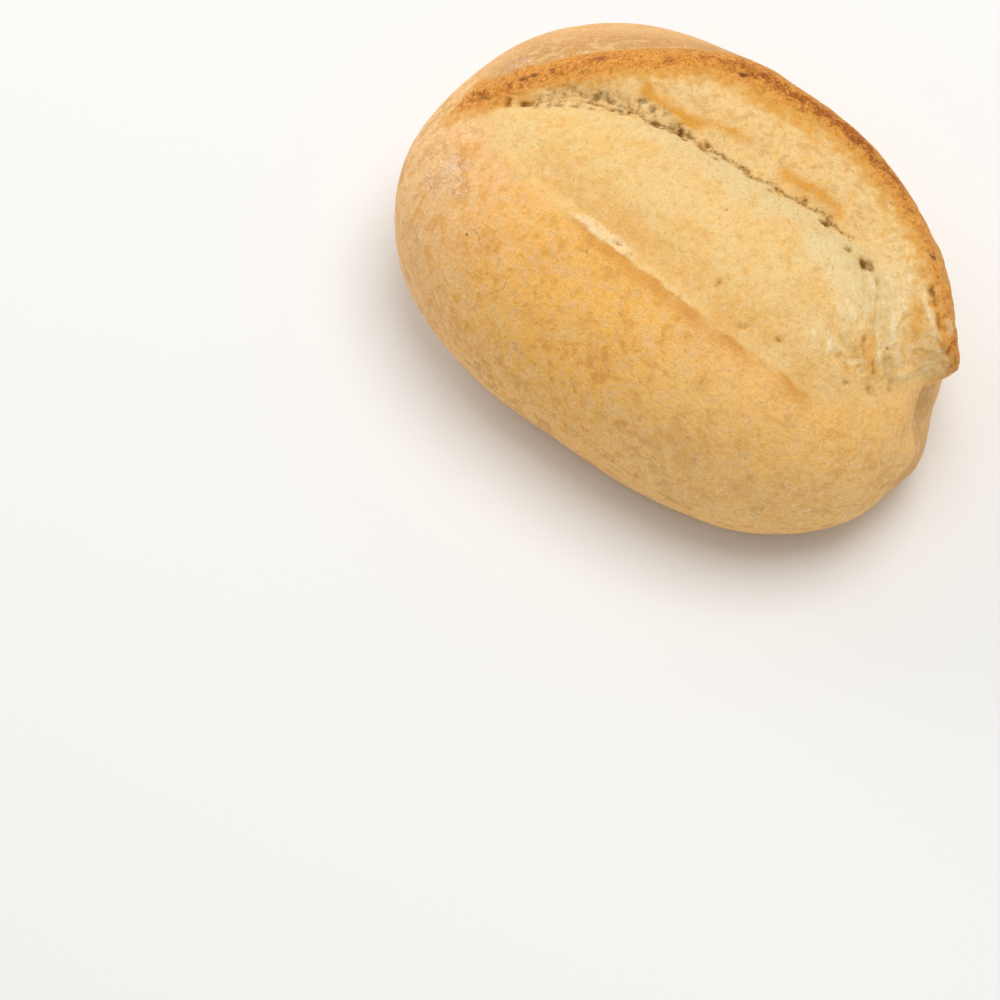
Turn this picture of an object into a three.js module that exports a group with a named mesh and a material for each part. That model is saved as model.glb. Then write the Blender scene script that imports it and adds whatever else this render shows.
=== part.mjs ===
// A part-baked bread roll: one long round piece of dough, slashed along its top before baking. The cut has
// opened into a pale bloom, and the far side of the cut has lifted into a browned ear.
// Lengths in millimetres. The roll lies along X with the ear on +Y, +Z is up, and the origin is the middle
// of the flat base that lay on the tray.
import * as THREE from 'three';

const { lerp, smoothstep } = THREE.MathUtils;

// The loaf before the cut opened
const HALF_LENGTH = 54.5;
const NEAR_HALF_WIDTH = 37;
const FAR_HALF_WIDTH = 38.9;
const WAIST_HEIGHT = 18.5;
const CROWN_RISE = 31.3;
const BELLY_DROP = 30;
const TRAY_ROUNDING = 4;
const PLAN_POWER = 2.36;
const SECTION_POWER = 2.22;
const WIDTH_TAPER = -0.092;
const SIDEWAYS_LEAN = 2.9;

// Lines along the cut: [station from -1 at one tip to 1 at the other, place from -1 near to 1 far]
const CRUST_EDGE_LINE = [
  [-1, -0.42], [-0.82, -0.29], [-0.58, -0.38], [-0.2, -0.42], [0.2, -0.41],
  [0.62, -0.375], [0.8, -0.28], [0.89, 0.08], [0.945, 0.7],
];
const CREASE_LINE = [
  [-1, -0.3], [-0.79, -0.28], [-0.61, -0.14], [-0.46, 0.06], [-0.36, 0.12], [-0.21, 0.185], [-0.1, 0.23],
  [0, 0.26], [0.21, 0.325], [0.4, 0.42], [0.57, 0.453], [0.75, 0.39], [0.86, 0.42], [0.945, 0.82],
];
const RIM_LINE = [
  [-1, -0.1], [-0.82, -0.22], [-0.71, -0.06], [-0.55, 0.18], [-0.33, 0.44], [-0.17, 0.63], [0, 0.715],
  [0.27, 0.775], [0.55, 0.73], [0.7, 0.67], [0.83, 0.645], [0.945, 0.94],
];

// Heights of the opened cut over the loaf
const CRUST_EDGE_RISE = 0.5;
const FURROW_DROP = 0.4;
const PILLOW_RISE = 0.8;
const CUT_DEPTH = 0.7;
const SOFT_CUT_DEPTH = 0.1;
const SLOT_DEPTH = 1;
const LIP_RISE = 2.9;
const RIM_RISE = 4.8;

// Uneven surface: broad swells all over, and crags along the browned rim
const SWELL = { height: 0.5, size: 24, turn: 0.4 };
const CRAG = { height: 0.45, size: 5.5, turn: 1.1 };
const WAVE_DIRECTIONS = 4;
const WAVE_TURN = 1.3;
const WAVE_CLIMB = 0.6;
const WAVE_STRETCH = 0.23;

// Stretches across a band, as shares of its width
const UNDERSIDE_SWELL = { from: 0, to: 0.7 };
const EDGE_RISE = { from: 0.8, to: 1 };
const FURROW = { from: 0, to: 0.1 };
const PILLOW = { from: 0.06, to: 0.5 };
const ROLL_IN_WIDTH = 0.25;
const SOFT_ROLL_IN = { from: 0, to: 0.5 };
const NEAR_SLOT_WIDTH = 0.05;
const FAR_SLOT_WIDTH = 0.07;
const LIP_WIDTH = 0.55;
const SOFT_LIP_WIDTH = 0.9;
const LIP_BACK = { from: 0.3, to: 0.95 };
const CRAG_BAND = { from: 0.6, to: 0.95 };
const EAR_BACK = { from: 0, to: 0.6 };

// Stations: the cut opens from its left tip to its full width, bloom and lip meet softly towards the right, and
// the ear stops short of the right tip
const OPENING = { from: -0.88, to: -0.25 };
const SOFT_MEETING = { from: 0.3, to: 0.75 };
const BLOOM_END = { from: 0.86, to: 0.95 };
const EAR_END = { from: 0.885, to: 0.94 };
const TORN_START = { from: -0.75, to: -0.5 };
const TORN_END = { from: 0.8, to: 0.92 };

// Torn places in the crease: station, half length in stations, extra depth
const TEARS = [
  { at: -0.44, reach: 0.045, depth: 1 },
  { at: -0.05, reach: 0.018, depth: 0.9 },
  { at: 0.3, reach: 0.02, depth: 0.9 },
  { at: 0.4, reach: 0.022, depth: 1.3 },
  { at: 0.575, reach: 0.02, depth: 1.4 },
];

// How the torn lines wander: share of the half width, length of a wave in mm, where it starts
const WANDER = [
  { amount: 0.006, length: 9, start: 0.5 },
  { amount: 0.006, length: 5.3, start: 2 },
];
const CRUST_EDGE_WANDER = 0.5;
const RIM_WANDER = -0.2;

// Where the ear lifts clear of the bloom and shows the crumb under it, and how much its wall steepens there
const CRUMB_GAP = { at: -0.45, reach: 0.13, width: 0.16, steeper: 0.22 };

// Dents in the loaf: the hollow under the ear's tip and beside it, and a flatter stretch of the near flank.
// The last two, of negative depth, are bulges of the far flank and the right end.
const DENTS = [
  { centre: new THREE.Vector3(52, 15, 22), radius: 8, depth: 5.4 },
  { centre: new THREE.Vector3(49, 21, 13), radius: 9, depth: 1.6 },
  { centre: new THREE.Vector3(12, -36, 10), radius: 22, depth: 1.4 },
  { centre: new THREE.Vector3(-26, 31, 35), radius: 14, depth: -1.1 },
  { centre: new THREE.Vector3(53, 4, 10), radius: 10, depth: -0.8 },
];

// Grid of the surface: stations along the loaf, and rows across each band of it
const STATIONS = 66;
const UNDERSIDE_ROWS = 6;
const FLANK_ROWS = 11;
const BLOOM_ROWS = 14;
const LIP_ROWS = 13;
const ROWS_TOWARDS_CREASE = 1.6;
const BASE_STRIPS = 2;
const BASE_ANGLE = THREE.MathUtils.degToRad(75);
const NORMAL_STEP = 1e-4;
const TIP_FADE = { from: 0.985, to: 0.9995 };

const CRUST_COLOUR = '#e2b06a';

function signedPower(value, power) {
  return Math.sign(value) * Math.abs(value) ** power;
}

function rise(value, { from, to }) {
  return smoothstep(value, from, to);
}

function fall(value, stretch) {
  return 1 - rise(value, stretch);
}

function bump(value, { at, reach }) {
  return Math.exp(-(((value - at) / reach) ** 2));
}

// Quarter-round rise from 0 to 1: upright at its start, level at its end
function rounded(value, start, width) {
  const rest = 1 - THREE.MathUtils.clamp((value - start) / width, 0, 1);
  return Math.sqrt(1 - rest * rest);
}

// Rise from 0 to 1 that sets off at a slope and ends level
function domed(value, start, width) {
  return Math.sin((Math.PI / 2) * THREE.MathUtils.clamp((value - start) / width, 0, 1));
}

// Smooth curve through the stops of a line, level beyond its ends
function lineAt(stops, station) {
  const u = THREE.MathUtils.clamp(station, stops[0][0], stops.at(-1)[0]);
  const slope = stops.map(([x, y], k) => {
    const [xBefore, yBefore] = stops[Math.max(k - 1, 0)];
    const [xAfter, yAfter] = stops[Math.min(k + 1, stops.length - 1)];
    const before = x - xBefore;
    const after = xAfter - x;
    const steepBefore = before > 0 ? (y - yBefore) / before : (yAfter - y) / after;
    const steepAfter = after > 0 ? (yAfter - y) / after : steepBefore;
    return (before * steepAfter + after * steepBefore) / (before + after);
  });
  const next = Math.max(stops.findIndex(([x]) => x >= u), 1);
  const [x0, y0] = stops[next - 1];
  const [x1, y1] = stops[next];
  const gap = x1 - x0;
  const t = (u - x0) / gap;
  const ease = t * t * (3 - 2 * t);
  const bendStart = gap * slope[next - 1] * t * (1 - t) * (1 - t);
  const bendEnd = gap * slope[next] * t * t * (t - 1);
  return y0 + (y1 - y0) * ease + bendStart + bendEnd;
}

// Angle round the section, from the far side over the top to the near side, of a place across it
function angleAt(place) {
  return Math.acos(signedPower(place, SECTION_POWER / 2));
}

// Height above the tray, rounded into the flat base
function onTray(height) {
  if (height <= -TRAY_ROUNDING) {
    return 0;
  }
  return height >= TRAY_ROUNDING ? height : (height + TRAY_ROUNDING) ** 2 / (4 * TRAY_ROUNDING);
}

function loafPoint(station, angle) {
  const girth = Math.max(1 - Math.abs(station) ** PLAN_POWER, 0) ** (1 / PLAN_POWER);
  const across = signedPower(Math.cos(angle), 2 / SECTION_POWER);
  const above = signedPower(Math.sin(angle), 2 / SECTION_POWER);
  const halfWidth = (across > 0 ? FAR_HALF_WIDTH : NEAR_HALF_WIDTH) * (1 + WIDTH_TAPER * station);
  const halfHeight = above > 0 ? CROWN_RISE : BELLY_DROP;
  return new THREE.Vector3(
    HALF_LENGTH * station,
    girth * (halfWidth * across + SIDEWAYS_LEAN * station),
    onTray(WAIST_HEIGHT + halfHeight * girth * above),
  );
}

function loafNormal(station, angle) {
  const forward = Math.min(station + NORMAL_STEP, 1);
  const backward = Math.max(station - NORMAL_STEP, -1);
  const alongLoaf = loafPoint(forward, angle).sub(loafPoint(backward, angle));
  const roundLoaf = loafPoint(station, angle + NORMAL_STEP).sub(loafPoint(station, angle - NORMAL_STEP));
  return roundLoaf.cross(alongLoaf).normalize();
}

// Waves of about one size that run in a few directions over the surface
function waves(point, { height, size, turn }) {
  let total = 0;
  for (let k = 0; k < WAVE_DIRECTIONS; k++) {
    const heading = turn + WAVE_TURN * k;
    const climb = WAVE_CLIMB * Math.sin(2 * k + turn);
    const way = new THREE.Vector3(
      Math.cos(heading) * Math.cos(climb),
      Math.sin(heading) * Math.cos(climb),
      Math.sin(climb),
    );
    total += Math.sin((2 * Math.PI * way.dot(point)) / (size * (1 + WAVE_STRETCH * k)) + 2 * k);
  }
  return (height * total) / WAVE_DIRECTIONS;
}

// Everything about the cut that depends on the station only
function cutAt(station) {
  const opening = rise(station, OPENING);
  const torn = rise(station, TORN_START) * fall(station, TORN_END);
  let wander = 0;
  for (const { amount, length, start } of WANDER) {
    wander += torn * amount * Math.sin((2 * Math.PI * HALF_LENGTH * station) / length + start);
  }
  const bloom = opening * fall(station, BLOOM_END);
  const soft = rise(station, SOFT_MEETING);
  let slot = SLOT_DEPTH * bloom * (1 - soft);
  for (const tear of TEARS) {
    slot += tear.depth * bump(station, tear);
  }
  return {
    crustEdge: angleAt(lineAt(CRUST_EDGE_LINE, station) + CRUST_EDGE_WANDER * wander),
    crease: angleAt(lineAt(CREASE_LINE, station) + wander),
    rim: angleAt(lineAt(RIM_LINE, station) + RIM_WANDER * wander),
    bloom,
    soft,
    depth: lerp(CUT_DEPTH, SOFT_CUT_DEPTH, soft),
    ear: opening * fall(station, EAR_END),
    slot,
    gap: CRUMB_GAP.width * bump(station, CRUMB_GAP),
    lipWidth: lerp(LIP_WIDTH, SOFT_LIP_WIDTH, soft) - CRUMB_GAP.steeper * bump(station, CRUMB_GAP),
  };
}

const evenly = (t) => t;

// Bands round the section, from the base's near edge to its far edge. Each gives the angles that it runs
// between, how its rows are spaced, and its height over the loaf, with t from 0 to 1 across it.
const BANDS = [
  {
    rows: UNDERSIDE_ROWS,
    from: () => Math.PI + BASE_ANGLE,
    to: () => Math.PI,
    spacing: evenly,
    height: (cut, t, crag, lump) => lump * rise(t, UNDERSIDE_SWELL),
  },
  {
    rows: FLANK_ROWS,
    from: () => Math.PI,
    to: (cut) => cut.crustEdge,
    spacing: evenly,
    height: (cut, t, crag, lump) => lump + cut.bloom * CRUST_EDGE_RISE * rise(t, EDGE_RISE),
  },
  {
    rows: BLOOM_ROWS,
    from: (cut) => cut.crustEdge,
    to: (cut) => cut.crease,
    spacing: (t) => 1 - (1 - t) ** ROWS_TOWARDS_CREASE,
    height: (cut, t, crag, lump) => {
      const step = CRUST_EDGE_RISE - (CRUST_EDGE_RISE + FURROW_DROP) * rise(t, FURROW);
      const pillow = (PILLOW_RISE + FURROW_DROP) * rise(t, PILLOW);
      const crown = lerp(domed(1 - t, 0, ROLL_IN_WIDTH), rise(1 - t, SOFT_ROLL_IN), cut.soft);
      const rollIn = (PILLOW_RISE + cut.depth) * (1 - crown);
      const slot = cut.slot * (1 - rounded(1 - t, 0, NEAR_SLOT_WIDTH));
      return lump + cut.bloom * (step + pillow - rollIn) - slot;
    },
  },
  {
    rows: LIP_ROWS,
    from: (cut) => cut.crease,
    to: (cut) => cut.rim,
    spacing: (t) => t ** ROWS_TOWARDS_CREASE,
    height: (cut, t, crag, lump) => {
      const wall = lerp(domed(t, cut.gap, cut.lipWidth), smoothstep(t, 0, cut.lipWidth), cut.soft);
      const back = (RIM_RISE - LIP_RISE) * rise(t, LIP_BACK);
      const ear = LIP_RISE * wall + back + crag * rise(t, CRAG_BAND);
      const slot = cut.slot * (1 - rounded(t, cut.gap, FAR_SLOT_WIDTH));
      return lump + cut.ear * ear - cut.bloom * cut.depth * (1 - wall) - slot;
    },
  },
  {
    rows: FLANK_ROWS,
    from: (cut) => cut.rim,
    to: () => 0,
    spacing: evenly,
    height: (cut, t, crag, lump) => lump + cut.ear * (RIM_RISE + crag) * fall(t, EAR_BACK),
  },
  {
    rows: UNDERSIDE_ROWS,
    from: () => 0,
    to: () => -BASE_ANGLE,
    spacing: evenly,
    height: (cut, t, crag, lump) => lump * rise(1 - t, UNDERSIDE_SWELL),
  },
];

// Point of the baked surface: the loaf, raised or sunk along its normal
function crustPoint(station, angle, height) {
  const point = loafPoint(station, angle);
  const fade = fall(Math.abs(station), TIP_FADE);
  let lump = waves(point, SWELL);
  for (const { centre, radius, depth } of DENTS) {
    lump -= depth * Math.exp(-point.distanceToSquared(centre) / radius ** 2);
  }
  const crag = waves(point, CRAG);
  point.addScaledVector(loafNormal(station, angle), fade * height(crag, lump));
  point.z = Math.max(point.z, 0);
  return point;
}

// One closed ring of points round the loaf at a station
function ringAt(station) {
  const cut = cutAt(station);
  const ring = [];
  BANDS.forEach((band, index) => {
    const from = band.from(cut);
    const to = band.to(cut);
    const last = index === BANDS.length - 1 ? band.rows : band.rows - 1;
    for (let row = 0; row <= last; row++) {
      const t = band.spacing(row / band.rows);
      const angle = lerp(from, to, t);
      ring.push(crustPoint(station, angle, (crag, lump) => band.height(cut, t, crag, lump)));
    }
  });
  const nearEdge = ring[0];
  const farEdge = ring.at(-1);
  for (let strip = 1; strip < BASE_STRIPS; strip++) {
    ring.push(farEdge.clone().lerp(nearEdge, strip / BASE_STRIPS));
  }
  return ring;
}

function rollGeometry() {
  const rings = [];
  for (let k = 1; k < STATIONS; k++) {
    const sweep = Math.PI * (k / STATIONS - 0.5);
    rings.push(ringAt(signedPower(Math.sin(sweep), 2 / PLAN_POWER)));
  }
  const size = rings[0].length;
  const points = [...rings.flat(), loafPoint(-1, 0), loafPoint(1, 0)];
  const leftTip = points.length - 2;
  const rightTip = points.length - 1;
  const lastRing = (rings.length - 1) * size;
  const triangles = [];
  for (let row = 0; row < size; row++) {
    const next = (row + 1) % size;
    triangles.push(leftTip, row, next);
    triangles.push(rightTip, lastRing + next, lastRing + row);
    for (let k = 0; k < rings.length - 1; k++) {
      const left = k * size;
      const right = left + size;
      triangles.push(left + row, right + row, right + next);
      triangles.push(left + row, right + next, left + next);
    }
  }
  const geometry = new THREE.BufferGeometry().setFromPoints(points);
  geometry.setIndex(triangles);
  geometry.computeVertexNormals();
  return geometry;
}

const crust = new THREE.MeshStandardMaterial({ color: CRUST_COLOUR, roughness: 0.75, metalness: 0 });
const roll = new THREE.Mesh(rollGeometry(), crust);
roll.name = 'roll';

const breadRoll = new THREE.Group();
breadRoll.add(roll);

export default breadRoll;
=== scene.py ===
import math

import bpy
import numpy as np
from mathutils import Matrix, Vector, noise


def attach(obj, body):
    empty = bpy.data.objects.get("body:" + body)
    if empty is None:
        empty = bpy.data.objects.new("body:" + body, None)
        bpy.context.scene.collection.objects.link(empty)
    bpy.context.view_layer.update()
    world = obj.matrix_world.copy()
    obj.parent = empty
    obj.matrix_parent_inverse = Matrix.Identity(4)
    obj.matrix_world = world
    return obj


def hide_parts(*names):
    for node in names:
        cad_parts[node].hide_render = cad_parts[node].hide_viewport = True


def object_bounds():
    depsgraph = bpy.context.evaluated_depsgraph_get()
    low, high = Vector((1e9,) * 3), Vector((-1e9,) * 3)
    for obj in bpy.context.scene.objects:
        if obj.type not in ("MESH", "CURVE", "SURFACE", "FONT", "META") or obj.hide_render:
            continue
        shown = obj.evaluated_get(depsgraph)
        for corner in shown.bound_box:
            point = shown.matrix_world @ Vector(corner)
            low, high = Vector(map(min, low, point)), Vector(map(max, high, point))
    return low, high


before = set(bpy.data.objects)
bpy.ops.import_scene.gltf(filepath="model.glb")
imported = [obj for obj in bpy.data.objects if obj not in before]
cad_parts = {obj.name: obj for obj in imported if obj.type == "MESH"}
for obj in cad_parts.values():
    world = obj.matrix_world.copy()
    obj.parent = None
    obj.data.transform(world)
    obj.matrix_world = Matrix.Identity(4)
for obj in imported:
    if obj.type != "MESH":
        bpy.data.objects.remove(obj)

# A part-baked bread roll: golden crust, a pale bloom where the slash opened, and a browned ear beside it.
# The form is the CAD solid's, drawn with a finer grid, with the crumb's and the crust's small relief on it.
# Lengths are millimetres until the mesh is made, and the frame is the CAD model's.
CAD_LOW, CAD_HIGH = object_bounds()
MM = 0.001

# The loaf before the cut opened
HALF_LENGTH = (CAD_HIGH.x - CAD_LOW.x) / 2 / MM
NEAR_HALF_WIDTH = 37.0
FAR_HALF_WIDTH = 38.9
WAIST_HEIGHT = 18.5
CROWN_RISE = 31.3
BELLY_DROP = 30.0
TRAY_ROUNDING = 4.0
PLAN_POWER = 2.36
SECTION_POWER = 2.22
WIDTH_TAPER = -0.092
SIDEWAYS_LEAN = 2.9

# Lines along the cut: (station from -1 at one tip to 1 at the other, place from -1 near to 1 far)
CRUST_EDGE_LINE = [(-1, -0.42), (-0.82, -0.29), (-0.58, -0.38), (-0.2, -0.42), (0.2, -0.41),
                   (0.62, -0.375), (0.8, -0.28), (0.89, 0.08), (0.945, 0.7)]
CREASE_LINE = [(-1, -0.3), (-0.79, -0.28), (-0.61, -0.14), (-0.46, 0.06), (-0.36, 0.12), (-0.21, 0.185),
               (-0.1, 0.23), (0, 0.26), (0.21, 0.325), (0.4, 0.42), (0.57, 0.453), (0.75, 0.39),
               (0.86, 0.42), (0.945, 0.82)]
RIM_LINE = [(-1, -0.1), (-0.82, -0.22), (-0.71, -0.06), (-0.55, 0.18), (-0.33, 0.44), (-0.17, 0.63),
            (0, 0.715), (0.27, 0.775), (0.55, 0.73), (0.7, 0.67), (0.83, 0.645), (0.945, 0.94)]

# Stretches of the cut, by station. Two stations are those that something changes between. Four are where it
# starts, is full, starts to fade and ends.
CUT_OPENS = (-0.88, -0.25)
BLOOM_RUNS_OUT = (0.66, 0.92)
EAR_RUNS_OUT = (0.885, 0.94)
TORN_LINES = (-0.75, -0.5, 0.8, 0.92)
EDGE_RIDGE = (-0.6, -0.2, 0.1, 0.6)
SOFT_MEETING = (0.3, 0.75)

# Heights of the opened cut over the loaf. Bloom and lip meet sharply left of the soft meeting and softly
# right of it, and what differs is given for both.
CRUST_EDGE_RISE = 0.5
FURROW_DROP = 0.4
PILLOW_RISE = 0.8
CUT_DEPTH = (0.4, 0.1)
SLOT_DEPTH = 0.15
LIP_RISE = 2.9
RIM_RISE = 4.8

# Shares of the width between two lines: where the edge's ridge rises on the flank, how wide its step down
# into the bloom is, where the pillow rises, how much of it rolls into the crease, how wide the lip's wall
# is, where its slope to the rim and the rim's crags rise, how wide the slot's two sides are, and how far the
# rim's height reaches down the far flank
RIDGE_FROM = 0.8
EDGE_STEP = 0.1
PILLOW_SLOPE = (0.06, 0.5)
ROLL_IN = (0.25, 0.5)
LIP_WIDTH = (0.55, 0.9)
RIM_SLOPE = (0.3, 0.95)
CRAG_SLOPE = (0.6, 0.95)
BLOOM_SLOT = 0.05
LIP_SLOT = 0.07
FAR_SLOPE = 0.6
# Share of the underside that lumps grow over, from none at the base, and the stations near a tip that lumps
# and cut fade out between
LUMPS_GROW = 0.7
TIP_FADE = (0.985, 0.9995)

# Broad swells all over, and waves along the browned rim: height, size across, turn of the waves
SWELL = (0.5, 24.0, 0.4)
RIM_WAVES = (0.12, 5.5, 1.1)
WAVE_DIRECTIONS = 4

# Torn places in the crease: station, half length in stations, extra depth
TEARS = [(-0.44, 0.045, 0.3), (-0.05, 0.018, 0.4), (0.3, 0.02, 0.4), (0.4, 0.022, 0.4), (0.575, 0.02, 0.4)]
# How the crease wanders where it tore: share of the half width, length of a wave, where it starts. The
# crust's edge wanders less, and the rim a little the other way.
WANDER = [(0.006, 9.0, 0.5), (0.006, 5.3, 2.0)]
EDGE_WANDER = 0.5
RIM_WANDER = -0.2
# Where the ear lifts clear of the bloom and shows the crumb: station, reach, and shares of the lip's width
# that the gap takes and that the lip's wall is narrower there
CRUMB_GAP = (-0.45, 0.13, 0.16, 0.22)
# Dents in the loaf, under the ear's tip, beside it and in the near flank, and, of negative depth, bulges of
# the far flank and the right end: centre, radius, depth
DENTS = [((52, 15, 22), 8.0, 5.4), ((49, 21, 13), 9.0, 1.6), ((12, -36, 10), 22.0, 1.4),
         ((-26, 31, 35), 14.0, -1.1), ((53, 4, 10), 10.0, -0.8)]

# Grid of the surface: stations along the loaf, and rows across its bands from the near base edge to the far
STATIONS = 372
UNDERSIDE_ROWS = 14
NEAR_FLANK_ROWS = 62
BLOOM_ROWS = 66
LIP_ROWS = 56
FAR_FLANK_ROWS = 38
BASE_STRIPS = 8
BASE_ANGLE = math.radians(75)
ROWS_TOWARDS_CREASE = 1.35

# Widths of the tones along the cut, in mm, by station: how soft the crust's edge is, how far the rim's
# browning runs down its far side, fades out there and fades into the lip, from where below the crease to
# where above it the open crumb shows, how far the palest crumb reaches below that, and the torn strip
CRUST_EDGE_BLUR = [(-0.42, 3.9), (-0.14, 1.0), (0.2, 1.2), (0.36, 1.5), (0.7, 1.8), (0.8, 2.6), (0.85, 5.0)]
RIM_OVERHANG = [(-0.85, 2.6), (-0.6, 3.6), (-0.4, 5.2), (0, 5.0)]
OVERHANG_FADE = [(-0.5, 1.2), (-0.1, 5.0)]
RIM_BROWNING = [(-0.7, 15.0), (-0.55, 11.0), (-0.4, 10.0), (0, 13.5), (0.3, 12.0), (0.55, 8.5), (0.7, 6.0),
                (0.85, 4.5)]
CRUMB_BELOW = [(-0.62, 0), (-0.5, -3.0), (-0.35, -1.2), (-0.2, -0.8), (-0.08, 0)]
CRUMB_ABOVE = [(-0.56, 3.4), (-0.45, 3.2), (-0.25, 3.6), (-0.15, 2.0), (-0.08, 0.8)]
FRINGE_WIDTH = [(-0.3, 6.0), (-0.1, 9.0), (0.2, 12.0), (0.55, 12.0)]
TORN_STRIP = [(-0.17, 0.3), (-0.1, 2.4), (-0.02, 2.8), (0.06, 2.0), (0.13, 0.6), (0.5, 0.4)]
# How strong they are, by station
TORN_SHARE = [(-0.18, 0), (-0.12, 0.9), (0.05, 0.9), (0.13, 0)]
BROWNED_SHARE = [(-0.2, 0), (-0.05, 0.8), (0.36, 0.9), (0.42, 0.4), (0.47, 0.85), (0.56, 0.7), (0.62, 0.3),
                 (0.68, 0.75), (0.75, 0.65), (0.8, 0)]
FRINGE_SHARE = [(-0.65, 0), (-0.5, 0.3), (-0.28, 0.6), (0, 0.9), (0.5, 1.0), (0.7, 0.9), (0.8, 0.4)]
RIM_HEAT = [(0.3, 1.0), (0.45, 0.88), (0.6, 0.75), (0.76, 0.65), (0.85, 0.82)]
# Where the rim is brownest, by station: mm beyond its crest, how far it reaches, and how brown it is
BROWNEST_AT = [(-0.75, -2.0), (-0.5, 1.0), (-0.38, 3.0), (-0.27, 2.0), (-0.1, -1.0), (0.25, -0.9),
               (0.5, 0.0), (0.84, -0.8)]
BROWNEST_REACH = 3.1
BROWNEST_SHARE = [(-0.75, 0.6), (-0.5, 0.5), (-0.3, 0.6), (-0.1, 0.95), (0.25, 1.0), (0.5, 0.55),
                  (0.76, 0.4), (0.84, 0.5)]

# How far outside the bloom the skin counts where the cut is closed, in widths of the bloom's soft edge
CLOSED_SKIN = 5.0
# Stretches of the tones, by station, as those of the cut
OPENED_SKIN = (-0.9, -0.78, 0.88, 0.94)
OPEN_CREASE = (-0.6, -0.46, 0.4, 0.6)
OPEN_CRUMB = (-0.62, -0.56, -0.16, -0.06)
DRAWN_OUT = (0.45, 0.65, 0.88, 0.93)
TONES_MERGE = (0.45, 0.68)
GILDING_STARTS = (-0.6, -0.2)
PALE_LEFT_END = (-0.8, 0.15)
DRY_LEFT_END = (-0.9, -0.1)
DRY_RIGHT_END = (0.05, 0.6)
FAR_SKIN_STARTS = (-0.97, -0.74)
PALE_FAR_ENDS = (0.1, 0.6)
# Bands across the loaf, in mm: three beyond the crust's edge, three beyond the rim and how soft the bloom's
# end is there, three above the floor, and one from the loaf's middle towards its near side. The second above
# the floor and the one towards the near side bound the painted shade low on the near flank.
BROWNED_BAND = (-4.4, -0.5, -0.2, 0.4)
GILDED_BAND = (0, 2, 4, 13)
DRAWN_OUT_FROM = (3, 8)
FAR_BAND = (1, 4, 8, 28)
PALE_FAR_BAND = (1, 4, 8, 32)
FAR_SIDE = (0, 3)
RIM_BLUR = 0.4
DRY_BELOW = (18, 44)
SHADE_BELOW = (8, 30)
BASE_BELOW = (0.4, 3.0)
SHADE_ON_NEAR_SIDE = (12, 30)
# Where bands with a width of their own start and end, in mm from the line or the width that they go by: the
# torn strip, the palest crumb, the rim's browning, the lip, which ends over the rim's crest, and the open
# crumb. FRINGE_ENDS and LIP_FULL hold two values, for left and right of where the tones merge.
STRIP_STARTS = (-0.4, 0.3)
STRIP_ENDS = (-0.4, 0.6)
FRINGE_FADES = (-1.5, -0.8)
FRINGE_ENDS = (0.6, 7)
BROWNING_FULL = 0.5
LIP_STARTS = 0.5
LIP_FULL = (3, 10)
RIM_CREST = (-1, 1)
CRUMB_STARTS = (-0.8, 0.4)
CRUMB_ENDS = (-0.6, 0.9)
# The crease's shade: how far above its line it lies, and its reach
CREASE_SHADE = (0.3, 0.75)
# Shares lost: of the gilding where the tones merge, of the dry skin on the far side
GILDING_LOST = 0.6
DRYNESS_LOST = 0.6

# Places on the upper side, in plan. UPPER_SIDE is a height that they all lie above.
UPPER_SIDE = 20.0
# How far the edges of these places wander, over what size, and the seeds of the two ways that they wander in
PLACE_WANDER = (0.7, 1.9, (12, 13))
# Holes in the crumb, dark with painted shade: along the crease, in the bloom, at the right end, in the rim
# there and at the left end. Path, radius, depth.
PITS = [([(-3.1, 9.7)], 0.7, 0.8), ([(0.0, 9.4)], 0.5, 0.5), ([(5.5, 11.7)], 0.5, 0.5),
        ([(11.0, 12.2)], 0.6, 0.5), ([(15.9, 14.8)], 0.7, 0.6), ([(21.3, 15.1)], 0.85, 0.8),
        ([(27.2, 14.8)], 0.6, 0.6), ([(30.8, 15.3)], 0.95, 0.9), ([(32.2, 15.6)], 0.5, 0.4),
        ([(34.2, 14.8)], 0.6, 0.4), ([(36.4, 12.7)], 0.5, 0.25), ([(-8.4, 8.4), (-6.1, 8.4)], 0.4, 0.6),
        ([(18.3, -7.6), (18.3, -7.0)], 0.45, 0.5), ([(32.0, -6.0)], 0.6, 0.6), ([(9.5, 2.9)], 0.35, 0.35),
        ([(14.1, 4.2)], 0.35, 0.3), ([(23.2, -0.9)], 0.35, 0.3), ([(1.0, -14.0)], 0.55, 0.6),
        ([(25.6, -9.6), (26.8, -8.6)], 0.4, 0.4), ([(24.3, -9.6)], 0.35, 0.3),
        ([(40.0, 0.1)], 0.5, 0.4), ([(40.2, -2.2)], 0.4, 0.3), ([(43.5, -1.2)], 0.5, 0.4),
        ([(46.5, 1.5)], 0.5, 0.35), ([(48.3, 5.1)], 0.5, 0.35), ([(43.4, 2.0)], 0.45, 0.3),
        ([(40.0, 5.6), (41.5, 4.2)], 0.35, 0.4), ([(43.6, 4.4), (44.8, 3.4)], 0.35, 0.35),
        ([(43.5, 9.0)], 0.4, 0.4), ([(41.2, 20.7), (41.8, 20.3)], 0.6, 0.6), ([(43.3, 20.0)], 0.5, 0.5),
        ([(45.0, 18.7), (46.6, 17.9)], 0.4, 0.5),
        ([(-36.4, -6.4), (-35.8, -7.3)], 0.6, 0.6), ([(-33.6, -6.0), (-32.2, -4.9)], 0.5, 0.6),
        ([(-42.5, -8.6), (-40.3, -7.8)], 0.6, 0.4), ([(-38.1, -9.1)], 0.4, 0.4),
        ([(-39.2, -12.1)], 0.4, 0.3)]
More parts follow.
